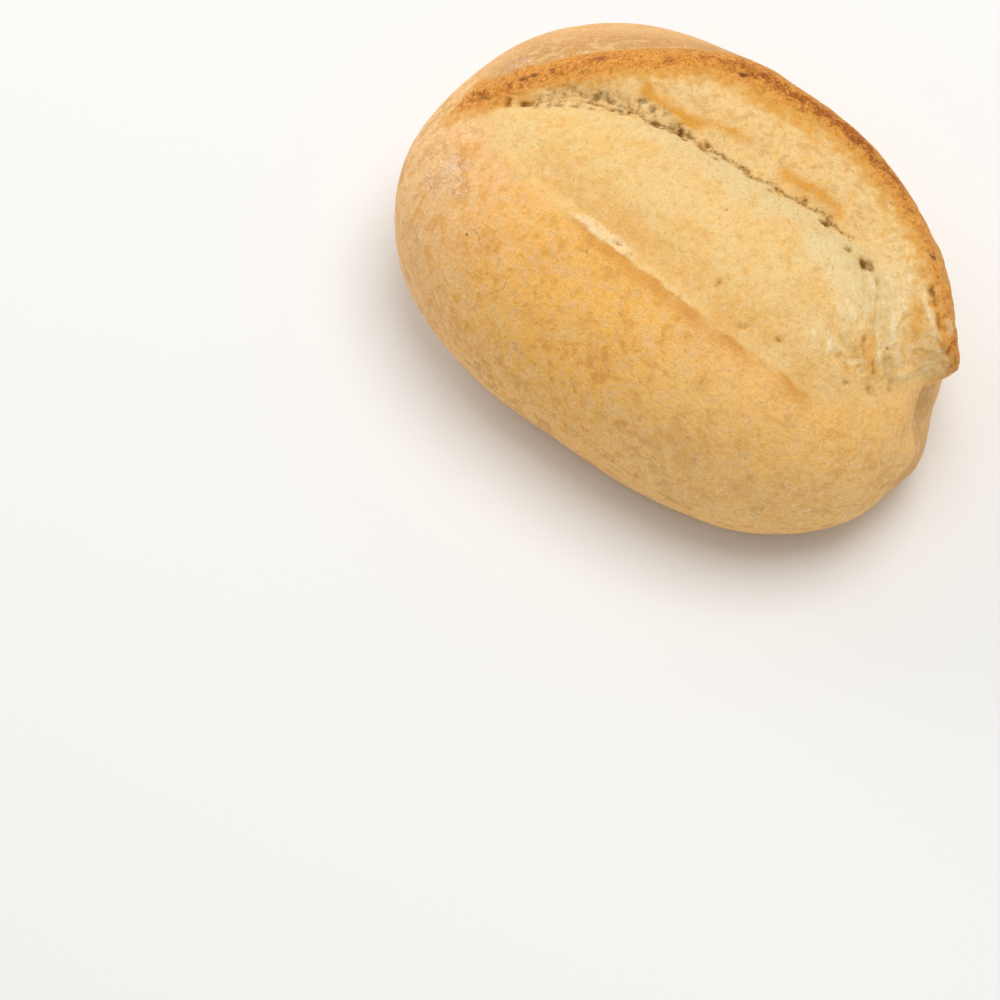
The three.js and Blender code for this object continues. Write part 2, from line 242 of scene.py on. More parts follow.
# Soft dimples, darkened with painted shade, in the lip, beside the lump at the right end, beside the ear's
# tip and at the rim's left end, where it is the shade under the ear: path, radius, depth
DIMPLES = [([(12.6, 20.8), (13.0, 21.8)], 0.7, 0.5), ([(38.8, 3.2), (40.3, 2.9), (41.8, 2.5)], 0.8, 0.6),
           ([(45.2, 7.6), (45.9, 6.8), (47.3, 6.0)], 1.0, 0.7), ([(45.5, 8.6), (47.0, 7.6)], 2.3, 0.35),
           ([(-1.0, 24.8)], 0.9, 0.3), ([(1.7, 23.8)], 0.8, 0.3), ([(-4.0, 23.6)], 0.8, 0.25),
           ([(-30.3, -1.5), (-30.0, -0.2), (-28.1, 1.8)], 0.5, 0.5)]
# Lumps that stand up, at the right end and at the left end of the rim: path, radius, height
KNOBS = [([(40.1, 6.2), (42.1, 4.6), (44.3, 3.9)], 1.4, 0.8), ([(-41.1, 0.0)], 2.2, 1.2)]
# Thin pale ridges where strands of crumb were drawn out: path, radius, how high
RIDGES = [([(41.6, 18.8), (43.4, 18.0), (45.6, 17.2), (47.2, 16.4)], 0.6, 1.0),
          ([(46.2, 20.0), (47.6, 19.2)], 0.7, 0.8), ([(36.3, 9.2), (37.3, 11.2), (38.5, 13.8)], 0.5, 0.5),
          ([(34.0, 9.6), (35.8, 8.9)], 0.5, 0.5), ([(32.5, 7.8), (34.2, 7.7)], 0.5, 0.6)]
# Skin that blistered and sank again into folds: path, radius, how much
BLISTERED = [([(-35.8, -20.3), (-32.4, -20.8), (-33.1, -22.9), (-30.2, -23.5), (-28.7, -23.4)], 1.9, 1.0),
             ([(-37.0, -24.5), (-34.0, -25.5)], 2.0, 0.7), ([(-41.1, 0.0)], 2.1, 1.5)]
# Toasted places: path, radius, how much
TOASTED = [([(-17.6, 9.4), (-13.2, 9.6), (-10.0, 10.0), (-7.3, 10.8)], 1.3, 1.3),
           ([(-11.4, 9.8), (-9.2, 10.2)], 0.9, 0.6), ([(-6.2, 12.6), (-3.8, 13.8), (0.6, 15.4)], 1.3, 0.8),
           ([(-2.2, 14.8), (-1.2, 15.2)], 0.7, 0.6), ([(10.5, 15.8), (13.6, 16.6), (16.6, 17.7)], 1.6, 1.0),
           ([(18.4, 18.1), (21.1, 18.3)], 1.6, 0.9), ([(13.0, 16.6), (15.0, 17.2)], 0.8, 0.5),
           ([(-5.1, 21.8), (0.0, 24.7), (4.4, 25.1), (8.5, 24.2)], 1.6, 0.7),
           ([(-35.0, -18.4), (-33.0, -17.6)], 2.0, 0.7), ([(-26.4, -17.0)], 1.8, 0.4),
           ([(40.1, 6.2), (42.1, 4.6), (44.3, 3.9)], 1.5, 0.75), ([(42.0, 0.1)], 1.0, 0.8),
           ([(-1.0, -11.6), (3.1, -10.8)], 2.0, 0.5), ([(22.0, -11.5), (26.0, -12.0)], 1.6, 0.5),
           ([(42.2, 16.6), (44.0, 15.2)], 1.3, 0.8), ([(39.8, 17.7)], 0.7, 0.5), ([(43.9, 13.3)], 1.5, 0.45),
           ([(46.5, 13.0)], 2.2, 0.4), ([(39.6, -9.1)], 2.2, 0.5), ([(13.0, -24.9)], 2.2, 0.4),
           ([(31.8, -23.9)], 3.0, 0.3), ([(46.3, -7.4)], 3.5, 0.3)]
# Dark spots where the rim caught the oven's heat: path, radius, how much
BURNT = [([(-9.4, 24.4), (-8.6, 25.0)], 0.9, 0.8), ([(9.7, 30.8)], 0.8, 0.7), ([(5.1, 31.3)], 0.8, 0.6),
         ([(12.4, 31.9)], 0.8, 0.6), ([(25.3, 26.8)], 0.8, 0.6), ([(27.7, 29.0)], 0.9, 0.6),
         ([(36.6, 25.4)], 0.9, 0.7), ([(41.4, 20.8), (42.6, 20.4)], 0.9, 0.7), ([(50.4, 17.3)], 1.1, 0.4),
         ([(49.7, 14.8)], 0.8, 0.4), ([(-19.4, 16.3)], 1.6, 0.7), ([(-28.8, 8.6)], 1.2, 0.75),
         ([(-33.6, 1.6)], 1.0, 0.7), ([(-37.6, -2.6), (-35.2, -0.6)], 0.8, 0.7),
         ([(-42.5, -8.4), (-40.3, -7.6)], 0.9, 0.55), ([(-39.5, 2.9)], 0.6, 0.7),
         ([(-44.4, -4.9)], 0.6, 0.6)]
# Paler places where the crumb was stretched, towards the right end: path, radius, how much
STRETCHED = [([(33.0, 9.5), (36.5, 6.0)], 3.5, 0.8), ([(43.5, 9.5), (46.0, 8.0)], 2.5, 0.5),
             ([(24.5, 11.0), (30.0, 9.5)], 2.6, 0.7), ([(15.0, 6.0), (24.0, 8.0)], 4.0, 0.3),
             ([(32.0, 19.5), (38.0, 18.0)], 2.0, 0.6), ([(37.8, 15.0), (39.7, 15.7)], 1.8, 0.5)]
# Hairline cracks in the near flank and in the bloom, and a pinhole beside one of them
CRACKS = [[(-10.5, -28.8), (-10.5, -30.9), (-12.5, -32.9), (-14.0, -35.0)],
          [(-23.1, -28.1), (-21.4, -27.4), (-20.1, -28.0), (-17.3, -28.9)],
          [(24.5, 12.0), (26.4, 11.2), (27.4, 10.0), (29.8, 8.9)]]
PINHOLE = (-22.2, -28.6, 39.5)
# The way that the crumb was drawn out at the right end, and by how much a pattern is squeezed along it
STRAND_WAY = np.array([-0.735, 0.678, 0])
STRAND_SQUEEZE = 0.75

# Random swells and holes of the small relief: size across in mm, seed
FINE = (0.9, 1)
COARSE = (2.4, 2)
GRAINS = (1.3, 3)
SMALL_PORES = (1.0, 4)
PORES = (1.8, 5)
FOLDS = (2.0, 6)
PORE_CLUSTERS = (2.9, 7)
SKIN_SWELLS = (6.5, 8)
BLOOM_SWELLS = (3.4, 9)
STRANDS = (1.0, 10)
SMALL_PORE_CLUSTERS = (1.9, 11)
# Where a hole's side starts and ends, as shares of the holes' size
HOLE_SIDE = (0.2, 0.6)
# Swells that clusters of pores start and are full at, and how much the small pores count beside the large
PORES_CLUSTER = (-0.25, 0.15)
SMALL_PORES_CLUSTER = (0, 0.3)
SMALL_PORES_COUNT = 0.8
# How dark the painted shade of pores in the crease and of pits is
PORE_SHADE = 0.65
PIT_SHADE = 1.4
# Where the crumb's relief grows: across the bloom's soft edge, and with the rim's browning. Less of it is on
# the rim's far side.
IN_BLOOM = (-0.6, 1)
CRUMBLY = (0.45, 0.85)
CRUMBLY_LOST = 0.9
# Heights of the relief in mm, each for the patterns that relief() lays on in that place
SKIN_RELIEF = (0.09, 0.04, 0.02)
BLOOM_RELIEF = (0.12, 0.1, 0.08)
CRAG_RELIEF = (0.4, 0.35, 0.3)
CRAG_DROP = 0.2
TORN_RELIEF = (0.4, 0.25)
STRAND_RELIEF = (0.22, 0.15)
RIDGE_HEIGHT = 0.35
PORE_DEPTH = 0.35
BLISTER_RISE = 0.25
FOLD_DEPTH = 0.9
# Heights over the floor that the relief grows between
RELIEF_STARTS = (0, 6)


def signed_power(value, power):
    return np.sign(value) * np.abs(value) ** power


def rise(value, start, end):
    """Smooth step from 0 at start to 1 at end."""
    share = np.clip((value - start) / (end - start), 0, 1)
    return share * share * (3 - 2 * share)


def between(value, start, full, fading, end):
    """Smooth rise from start to full, and fall from fading to end."""
    return rise(value, start, full) * (1 - rise(value, fading, end))


def rounded(value, start, width):
    """Quarter-round rise from 0 to 1: upright at its start, level at its end."""
    rest = 1 - np.clip((value - start) / width, 0, 1)
    return np.sqrt(1 - rest * rest)


def domed(value, start, width):
    """Rise from 0 to 1 that sets off at a slope and ends level."""
    return np.sin(np.pi / 2 * np.clip((value - start) / width, 0, 1))


def blend(first, second, share):
    return first + (second - first) * share


def bump(value, at, reach):
    return np.exp(-((value - at) / reach) ** 2)


def by_station(stops, station):
    """Value at a station between those of the stops, level beyond the first and the last."""
    return np.interp(station, *np.array(stops, float).T)


def line_at(stops, station):
    """Smooth curve through the stops of a line, level beyond its ends."""
    at, place = np.array(stops, float).T
    slope = np.gradient(place, at)
    station = np.clip(station, at[0], at[-1])
    low = np.clip(np.searchsorted(at, station) - 1, 0, len(at) - 2)
    gap = at[low + 1] - at[low]
    t = (station - at[low]) / gap
    ease = t * t * (3 - 2 * t)
    bend = gap * (slope[low] * t * (1 - t) ** 2 + slope[low + 1] * t * t * (t - 1))
    return place[low] + (place[low + 1] - place[low]) * ease + bend


def angle_at(place):
    """Angle round the section, from the far side over the top to the near side, of a place across it."""
    return np.arccos(signed_power(place, SECTION_POWER / 2))


def loaf_points(station, angle):
    girth = np.maximum(1 - np.abs(station) ** PLAN_POWER, 0) ** (1 / PLAN_POWER)
    across = signed_power(np.cos(angle), 2 / SECTION_POWER)
    above = signed_power(np.sin(angle), 2 / SECTION_POWER)
    half_width = np.where(across > 0, FAR_HALF_WIDTH, NEAR_HALF_WIDTH) * (1 + WIDTH_TAPER * station)
    height = WAIST_HEIGHT + np.where(above > 0, CROWN_RISE, BELLY_DROP) * girth * above
    soft = (height + TRAY_ROUNDING) ** 2 / (4 * TRAY_ROUNDING)
    height = np.where(height >= TRAY_ROUNDING, height, np.where(height <= -TRAY_ROUNDING, 0, soft))
    sideways = girth * (half_width * across + SIDEWAYS_LEAN * station)
    return np.stack(np.broadcast_arrays(HALF_LENGTH * station, sideways, height), -1)


def loaf_normals(station, angle, step=1e-4):
    ahead = loaf_points(np.minimum(station + step, 1), angle)
    behind = loaf_points(np.maximum(station - step, -1), angle)
    turned = loaf_points(station, angle + step) - loaf_points(station, angle - step)
    normal = np.cross(turned, ahead - behind)
    return normal / np.linalg.norm(normal, axis=-1, keepdims=True)


def waves(points, height, size, turn):
    """Waves of about one size that run in a few directions over the surface."""
    total = 0
    for k in range(WAVE_DIRECTIONS):
        heading = turn + 1.3 * k
        climb = 0.6 * math.sin(2 * k + turn)
        level = math.cos(climb)
        way = np.array([math.cos(heading) * level, math.sin(heading) * level, math.sin(climb)])
        total = total + np.sin(2 * np.pi * (points @ way) / (size * (1 + 0.23 * k)) + 2 * k)
    return height * total / WAVE_DIRECTIONS


def lumps(points):
    total = waves(points, *SWELL)
    for centre, radius, depth in DENTS:
        total = total - depth * np.exp(-((points - np.array(centre)) ** 2).sum(-1) / radius ** 2)
    return total


def cut_at(station):
    """What depends on the station only: the lines' angles and how far the cut has opened."""
    opening = rise(station, *CUT_OPENS)
    along = 2 * np.pi * HALF_LENGTH * station
    wander = sum(share * np.sin(along / size + start) for share, size, start in WANDER)
    wander = between(station, *TORN_LINES) * wander
    bloom = opening * (1 - rise(station, *BLOOM_RUNS_OUT))
    soft = rise(station, *SOFT_MEETING)
    edge_shows = between(station, *EDGE_RIDGE)
    gap_at, gap_reach, gap_width, gap_steeper = CRUMB_GAP
    tears = sum(depth * bump(station, at, reach) for at, reach, depth in TEARS)
    return {
        "edge": angle_at(line_at(CRUST_EDGE_LINE, station) + EDGE_WANDER * wander),
        "crease": angle_at(line_at(CREASE_LINE, station) + wander),
        "rim": angle_at(line_at(RIM_LINE, station) + RIM_WANDER * wander),
        "bloom": bloom,
        "edge_lift": CRUST_EDGE_RISE * bloom * edge_shows,
        "furrow": FURROW_DROP * bloom * edge_shows,
        "soft": soft,
        "depth": blend(*CUT_DEPTH, soft) * bloom,
        "ear": opening * (1 - rise(station, *EAR_RUNS_OUT)),
        "slot": SLOT_DEPTH * bloom * (1 - soft) + tears,
        "gap": gap_width * bump(station, gap_at, gap_reach),
        "lip_width": blend(*LIP_WIDTH, soft) - gap_steeper * bump(station, gap_at, gap_reach),
    }


def bloom_height(cut, t):
    sharp, soft = ROLL_IN
    step = cut["edge_lift"] - (cut["edge_lift"] + cut["furrow"]) * rise(t, 0, EDGE_STEP)
    pillow = (cut["bloom"] * PILLOW_RISE + cut["furrow"]) * rise(t, *PILLOW_SLOPE)
    crown = blend(domed(1 - t, 0, sharp), rise(1 - t, 0, soft), cut["soft"])
    roll_in = (cut["bloom"] * PILLOW_RISE + cut["depth"]) * (1 - crown)
    return step + pillow - roll_in - cut["slot"] * (1 - rounded(1 - t, 0, BLOOM_SLOT))


def lip_height(cut, t, crag):
    wall = blend(domed(t, cut["gap"], cut["lip_width"]), rise(t, 0, cut["lip_width"]), cut["soft"])
    ear = LIP_RISE * wall + (RIM_RISE - LIP_RISE) * rise(t, *RIM_SLOPE) + crag * rise(t, *CRAG_SLOPE)
    slot = cut["slot"] * (1 - rounded(t, cut["gap"], LIP_SLOT))
    return cut["ear"] * ear - cut["depth"] * (1 - wall) - slot


def form():
    """Rings of points round the loaf, their stations, and the rows of the crust's edge, crease and rim."""
    sweep = np.pi * (np.arange(1, STATIONS) / STATIONS - 0.5)
    station = signed_power(np.sin(sweep), 2 / PLAN_POWER)[:, None]
    cut = cut_at(station)
    fade = 1 - rise(np.abs(station), *TIP_FADE)
    turns = (np.pi + BASE_ANGLE, np.pi, 0, -BASE_ANGLE)
    near_base, near_side, far_side, far_base = [0 * station + turn for turn in turns]
    crowded = ROWS_TOWARDS_CREASE
    bands = [
        (UNDERSIDE_ROWS, near_base, near_side, lambda t: t,
         lambda t, lump, crag: lump * rise(t, 0, LUMPS_GROW)),
        (NEAR_FLANK_ROWS, near_side, cut["edge"], lambda t: 1 - (1 - t) ** crowded,
         lambda t, lump, crag: lump + cut["edge_lift"] * rise(t, RIDGE_FROM, 1)),
        (BLOOM_ROWS, cut["edge"], cut["crease"], lambda t: 1 - (1 - t) ** crowded,
         lambda t, lump, crag: lump + bloom_height(cut, t)),
        (LIP_ROWS, cut["crease"], cut["rim"], lambda t: t ** crowded,
         lambda t, lump, crag: lump + lip_height(cut, t, crag)),
        (FAR_FLANK_ROWS, cut["rim"], far_side, lambda t: t ** crowded,
         lambda t, lump, crag: lump + cut["ear"] * (RIM_RISE + crag) * (1 - rise(t, 0, FAR_SLOPE))),
        (UNDERSIDE_ROWS + 1, far_side, far_base, lambda t: t * (UNDERSIDE_ROWS + 1) / UNDERSIDE_ROWS,
         lambda t, lump, crag: lump * rise(1 - t, 0, LUMPS_GROW)),
    ]
    rings = []
    for rows, start, end, spacing, height in bands:
        t = spacing(np.arange(rows) / rows)
        angle = start + (end - start) * t
        points = loaf_points(station, angle)
        raised = fade * height(t, lumps(points), waves(points, *RIM_WAVES))
        points = points + raised[..., None] * loaf_normals(station, angle)
        points[..., 2] = np.maximum(points[..., 2], 0)
        rings.append(points)
    far_edge, near_edge = rings[-1][:, -1:], rings[0][:, :1]
    share = np.arange(1, BASE_STRIPS)[None, :, None] / BASE_STRIPS
    rings.append(far_edge + (near_edge - far_edge) * share)
    edge_row = UNDERSIDE_ROWS + NEAR_FLANK_ROWS
    crease_row = edge_row + BLOOM_ROWS
    return np.concatenate(rings, 1), station, (edge_row, crease_row, crease_row + LIP_ROWS)


def swells(points, size, seed):
    """Smooth random swells about this size across, from about -1 to 1."""
    flat = points.reshape(-1, 3) / size + np.array([7.3, 3.1, 5.7]) * seed
    return np.array([noise.noise(Vector(place)) for place in flat]).reshape(points.shape[:-1])


def holes(points, size, seed):
    """Round holes of uneven spacing, 1 in the middle of each and 0 between them."""
    flat = points.reshape(-1, 3) / size + np.array([4.7, 9.1, 2.3]) * seed
    reach = np.array([noise.voronoi(Vector(place))[0][0] for place in flat]).reshape(points.shape[:-1])
    return 1 - rise(reach, *HOLE_SIDE)


def wandered(points):
    """Places shifted a little sideways, so that what is drawn on them gets uneven edges."""
    reach, size, seeds = PLACE_WANDER
    aside = [reach * swells(points, size, seed) for seed in seeds]
    return points + np.stack(aside + [np.zeros_like(aside[0])], -1)


def path_distance(points, path):
    """Distance in plan from a path of straight stretches, negative on its right side."""
    place = points[..., :2]
    nearest = np.full(place.shape[:-1], 1e9)
    side = np.ones(place.shape[:-1])
    for start, end in zip(path, path[1:] or path):
        way = np.subtract(end, start).astype(float)
        share = np.clip((place - start) @ way / max(way @ way, 1e-9), 0, 1)
        off = place - start - share[..., None] * way
        reach = np.hypot(off[..., 0], off[..., 1])
        left = way[0] * off[..., 1] >= way[1] * off[..., 0]
        side = np.where(reach < nearest, np.where(left, 1, -1), side)
        nearest = np.minimum(nearest, reach)
    return np.where(points[..., 2] > UPPER_SIDE, nearest, 1e9) * side


def strokes(points, paths):
    """Sum of soft strokes on the upper side: each is full on its path and next to nothing two radii off."""
    return sum(amount * bump(path_distance(points, path), 0, radius) for path, radius, amount in paths)


def surface_normals(points):
    normal = np.cross(np.gradient(points, axis=0), np.gradient(points, axis=1))
    return normal / np.maximum(np.linalg.norm(normal, axis=-1, keepdims=True), 1e-9)


def describe(points, station, lines):
    """Where each point lies on the cut and on the places, as soft masks and distances in millimetres."""
    tape = np.cumsum(np.linalg.norm(np.diff(points, axis=1, prepend=points[:, :1]), axis=-1), axis=1)
    crust_mm, crease_mm, rim_mm = [tape - tape[:, row:row + 1] for row in lines]
    opened = np.broadcast_to(between(station, *OPENED_SKIN), tape.shape)
    edge_blur = by_station(CRUST_EDGE_BLUR, station)
    overhang = by_station(RIM_OVERHANG, station)
    faded = overhang + by_station(OVERHANG_FADE, station)
    crumb_below = by_station(CRUMB_BELOW, station)
    crumb_above = by_station(CRUMB_ABOVE, station)
    crumb_starts = [crumb_below + start for start in CRUMB_STARTS]
    crumb_ends = [crumb_above + end for end in CRUMB_ENDS]
    strip_ends = [by_station(TORN_STRIP, station) + end for end in STRIP_ENDS]
    fringe_width = by_station(FRINGE_WIDTH, station)
    merging = rise(station, *TONES_MERGE)
    height = points[..., 2]
    dry = 1 - np.minimum(rise(station, *DRY_LEFT_END), rise(height, *DRY_BELOW))
    pale_far = between(rim_mm, *PALE_FAR_BAND) * (1 - rise(station, *PALE_FAR_ENDS))
    at = {
        "rim_mm": rim_mm,
        "bloom_side": np.minimum(crust_mm / edge_blur, -rim_mm / RIM_BLUR) - CLOSED_SKIN * (1 - opened),
        "browned_edge": by_station(BROWNED_SHARE, station) * between(crust_mm, *BROWNED_BAND),
        "torn_edge": by_station(TORN_SHARE, station) * between(crust_mm, *STRIP_STARTS, *strip_ends),
        "fringe": opened * by_station(FRINGE_SHARE, station)
        * between(crease_mm - crumb_below, -fringe_width, *FRINGE_FADES, blend(*FRINGE_ENDS, merging)),
        "scorch": opened * rise(rim_mm, -by_station(RIM_BROWNING, station), BROWNING_FULL)
        * by_station(RIM_HEAT, station) * (1 - rise(rim_mm, overhang, faded)),
        "brown": opened * by_station(BROWNEST_SHARE, station)
        * bump(rim_mm, by_station(BROWNEST_AT, station), BROWNEST_REACH),
        "lip": opened * rise(crease_mm, LIP_STARTS, blend(*LIP_FULL, merging))
        * (1 - rise(rim_mm, *RIM_CREST)),
        # Painted shade in the crease, just above its line
        "crease": bump(crease_mm, *CREASE_SHADE) * between(station, *OPEN_CREASE),
        "gap": between(station, *OPEN_CRUMB) * between(crease_mm, *crumb_starts, *crumb_ends),
        "gilded_edge": opened * between(crust_mm, *GILDED_BAND) * rise(station, *GILDING_STARTS)
        * (1 - GILDING_LOST * merging),
        "dry_skin": dry * (1 - DRYNESS_LOST * rise(rim_mm, *FAR_SIDE)),
        "dry_end": rise(station, *DRY_RIGHT_END) + np.zeros_like(tape),
        # Painted shade: a greyer, duller tone low on the near flank, where it turns away from the light
        "low_flank_shade": (1 - rise(height, *SHADE_BELOW)) * rise(-points[..., 1], *SHADE_ON_NEAR_SIDE),
        "far_skin": between(rim_mm, *FAR_BAND) * rise(station, *FAR_SKIN_STARTS),
        "pale_skin": np.maximum(pale_far, 1 - rise(station, *PALE_LEFT_END)),
        "strands": opened * between(station, *DRAWN_OUT) * rise(crust_mm, *DRAWN_OUT_FROM),
        "base": 1 - rise(height, *BASE_BELOW),
    }
    uneven = wandered(points)
    places = {"toasted": TOASTED, "burnt": BURNT, "stretched": STRETCHED, "dimpled": DIMPLES,
              "ridge": RIDGES, "blistered": BLISTERED, "knob": KNOBS, "pits": PITS}
    at.update((name, strokes(uneven, paths)) for name, paths in places.items())
    return at


def along_strands(points):
    """Places squeezed along the way that the crumb was drawn out, so that a pattern runs in strands."""
    return points - STRAND_SQUEEZE * (points @ STRAND_WAY)[..., None] * STRAND_WAY


def laid_on(heights, *patterns):
    return sum(height * pattern for height, pattern in zip(heights, patterns))


def relief(points, at):
    """Small relief along the surface's normals, in mm. Adds its pores, and painted shade for pits and pores,
    to the masks.
    """
    in_bloom = rise(at["bloom_side"], *IN_BLOOM)
    fine = swells(points, *FINE)
    coarse = swells(points, *COARSE)
    grains = holes(points, *GRAINS)
    clusters = rise(swells(points, *PORE_CLUSTERS), *PORES_CLUSTER)
    small_clusters = rise(swells(points, *SMALL_PORE_CLUSTERS), *SMALL_PORES_CLUSTER)
    small_pores = holes(points, *SMALL_PORES) * small_clusters
    pores = np.maximum(holes(points, *PORES) * clusters, SMALL_PORES_COUNT * small_pores)
    folds = np.abs(swells(points, *FOLDS))
    at["open_pores"] = pores * at["gap"]
    # Painted shade for the pits and the crease's pores
    at["hollow"] = PORE_SHADE * pores * at["crease"] + PIT_SHADE * at["pits"]
    crumbly = rise(at["scorch"], *CRUMBLY) * (1 - CRUMBLY_LOST * rise(at["rim_mm"], *RIM_CREST))
    height = laid_on(SKIN_RELIEF, swells(points, *SKIN_SWELLS), coarse, fine)
    height += in_bloom * laid_on(BLOOM_RELIEF, swells(points, *BLOOM_SWELLS), coarse, fine)
    height += crumbly * (laid_on(CRAG_RELIEF, grains, fine, coarse) - CRAG_DROP)
    height += at["torn_edge"] * laid_on(TORN_RELIEF, grains, fine)
    height += at["strands"] * laid_on(STRAND_RELIEF, swells(along_strands(points), *STRANDS), coarse)
    height += RIDGE_HEIGHT * at["ridge"] + at["knob"] - at["dimpled"] - at["pits"]
    height -= PORE_DEPTH * pores * np.maximum(at["crease"], at["gap"])
    height += at["blistered"] * (BLISTER_RISE - FOLD_DEPTH * folds)
    return height * rise(points[..., 2], *RELIEF_STARTS)


def cracked(points):
    """Distance from the nearest hairline crack, with a sign that changes across it."""
    distances = np.array([path_distance(points, path) for path in CRACKS])
    nearest = np.abs(distances).argmin(0)
    return np.clip(np.take_along_axis(distances, nearest[None], 0)[0], -9, 9)


# What the mesh tells the bread's material about each point
FIELDS = ["bloom_side", "browned_edge", "torn_edge", "fringe", "scorch", "brown", "lip", "crease", "gap",
          "open_pores", "gilded_edge", "dry_skin", "dry_end", "low_flank_shade", "far_skin", "pale_skin",
          "strands", "base", "toasted", "burnt", "stretched", "dimpled", "ridge", "blistered", "hollow",
          "crack_mm"]


def make_roll():
    points, station, lines = form()
    at = describe(points, station, lines)
    at["crack_mm"] = cracked(points)
    points = points + relief(points, at)[..., None] * surface_normals(points)
    rings, rows = points.shape[:2]
    tips = loaf_points(np.array([-1.0, 1.0]), np.zeros(2))
    number = np.arange(rings * rows).reshape(rings, rows)
    after = np.roll(number, -1, axis=1)
    quads = np.stack([number[:-1], number[1:], after[1:], after[:-1]], -1).reshape(-1, 4)
    left, right = rings * rows, rings * rows + 1
    caps = [(left, a, b) for a, b in zip(number[0], after[0])]
    caps += [(right, b, a) for a, b in zip(number[-1], after[-1])]
    mesh = bpy.data.meshes.new("roll_crust")
    vertices = np.concatenate([points.reshape(-1, 3), tips]) * MM
    mesh.from_pydata(vertices.tolist(), [], quads.tolist() + caps)
    mesh.shade_smooth()
    for name in FIELDS:
        values = np.append(at[name].reshape(-1), [at[name][0, 0], at[name][-1, 0]])
        mesh.attributes.new(name, "FLOAT", "POINT").data.foreach_set("value", values.astype(np.float32))
    return bpy.data.objects.new("roll_crust", mesh)


def linear(hex_colour):
    """sRGB hex to the linear colour that shaders take."""
    parts = [int(hex_colour[k:k + 2], 16) / 255 for k in (1, 3, 5)]
    return [p / 12.92 if p <= 0.04045 else ((p + 0.055) / 1.055) ** 2.4 for p in parts] + [1.0]


def add(tree, kind, inputs=None, output=0, **settings):
    """Adds a node with its settings, sets or links its inputs, and gives one of its outputs."""
    made = tree.nodes.new(kind)
    for name, value in settings.items():
        setattr(made, name, value)
    for socket, value in (inputs or {}).items():
        if isinstance(value, bpy.types.NodeSocket):
            tree.links.new(value, made.inputs[socket])
        else:
            made.inputs[socket].default_value = value
    return made.outputs[output]


# Sockets of a colour mix
MIX_SHARE, MIX_UNDER, MIX_OVER, MIX_RESULT = 0, 6, 7, 2

# Random patterns in the bread: size across in mm, detail, twist. Flour and crumb are finer than the smallest
# of them, which is drawn as coarse as it needs to show.
PATTERNS = {
    "patches": (7.0, 2, 0.4),
    "mottle": (2.2, 4, 0.6),
    "wisps": (1.3, 4, 1.2),
    "ragged": (1.5, 4, 0.3),
    "crumb": (1.3, 4, 0.3),
    "speckle": (0.6, 2, 0.0),
    "grain": (0.35, 2, 0.0),
    "scorching": (2.0, 4, 0.4),
    "strands": (1.3, 4, 0.8),
    "folds": (2.2, 3, 0.8),
    "veins": (2.3, 3, 1.6),
    "blotches": (4.0, 3, 0.5),
}
# Masks with a ragged edge: field, pattern, how far the pattern shifts it, start and end of the edge
RAGGED_EDGES = {
    "bloom": ("bloom_side", "ragged", 2.2, -0.8, 0.8),
    "torn_edge": ("torn_edge", "crumb", 2.6, 0.1, 1.0),
    "browned_edge": ("browned_edge", "mottle", 2.0, 0.1, 1.1),
    "fringe": ("fringe", "crumb", 1.6, 0.1, 1.0),
    "toasted": ("toasted", "crumb", 2.4, -0.1, 1.5),
    "stretched": ("stretched", "crumb", 2.0, 0.1, 1.0),
    "gap": ("gap", "ragged", 2.4, 0.2, 1.1),
    "open_pores": ("open_pores", "speckle", 1.6, 0.3, 1.1),
    # Painted shade in the crease
    "crease": ("crease", "speckle", 2.2, 0.55, 1.2),
    # Painted shade in pits and pores, and a browner ring of it round them
    "hollow": ("hollow", "speckle", 1.2, 0.3, 1.1),
    "hollow_rim": ("hollow", "speckle", 1.2, 0.05, 0.5),
    "pale_skin": ("pale_skin", "mottle", 1.4, 0.1, 1.0),
    "far_skin": ("far_skin", "mottle", 2.4, 0.0, 1.0),
    "dry_end": ("dry_end", "mottle", 1.6, 0.1, 1.0),
    # Painted shade low on the near flank
    "low_flank_shade": ("low_flank_shade", "mottle", 1.2, 0.1, 1.0),
    "gilded_edge": ("gilded_edge", "mottle", 1.6, 0.1, 1.0),
    "lip": ("lip", "mottle", 1.2, 0.1, 1.0),
    "dry_skin": ("dry_skin", "mottle", 2.4, 0.2, 1.1),
    "blistered": ("blistered", "speckle", 1.0, 0.2, 0.9),
    # Painted shade in the dimples
    "dimpled": ("dimpled", "crumb", 1.6, 0.1, 0.9),
    "ridge": ("ridge", "speckle", 1.6, 0.25, 0.9),
    "golden": ("scorch", "ragged", 1.2, 0.05, 0.55),
    "orange": ("scorch", "ragged", 1.4, 0.4, 0.88),
    "brown": ("brown", "scorching", 2.0, 0.4, 0.95),
    "burnt": ("burnt", "speckle", 1.4, 0.35, 0.85),
    "pale_strands": ("strands", "strands", 2.4, 1.0, 1.4),
    "dark_strands": ("strands", "strands", -2.4, 1.05, 1.5),
}
# Masks of a pattern's high or low places: pattern, start, end
PARTS = {
    "amber": ("patches", 0.48, 0.66),
    "gilded": ("patches", 0.42, 0.62),
    "wisps": ("wisps", 0.52, 0.68),
    "dark_mottle": ("mottle", 0.5, 0.34),
    "pale_mottle": ("mottle", 0.5, 0.66),
    "golden_mottle": ("mottle", 0.46, 0.7),
    "pale_crumb": ("crumb", 0.5, 0.72),
    "dark_crumb": ("crumb", 0.47, 0.3),
    "unbroken": ("mottle", 0.42, 0.5),
    "pale_speck": ("speckle", 0.54, 0.7),
    "dark_speck": ("speckle", 0.46, 0.3),
    "pale_grain": ("grain", 0.54, 0.66),
    "dark_grain": ("grain", 0.46, 0.34),
    "fold_rising": ("folds", 0.44, 0.5),
    "fold_falling": ("folds", 0.56, 0.5),
    "fold_shade": ("folds", 0.43, 0.36),
    "vein_rising": ("veins", 0.46, 0.5),
    "vein_falling": ("veins", 0.54, 0.5),
    "dark_blotch": ("blotches", 0.47, 0.36),
    "pale_crag": ("speckle", 0.52, 0.62),
    "dark_crag": ("speckle", 0.48, 0.38),
}

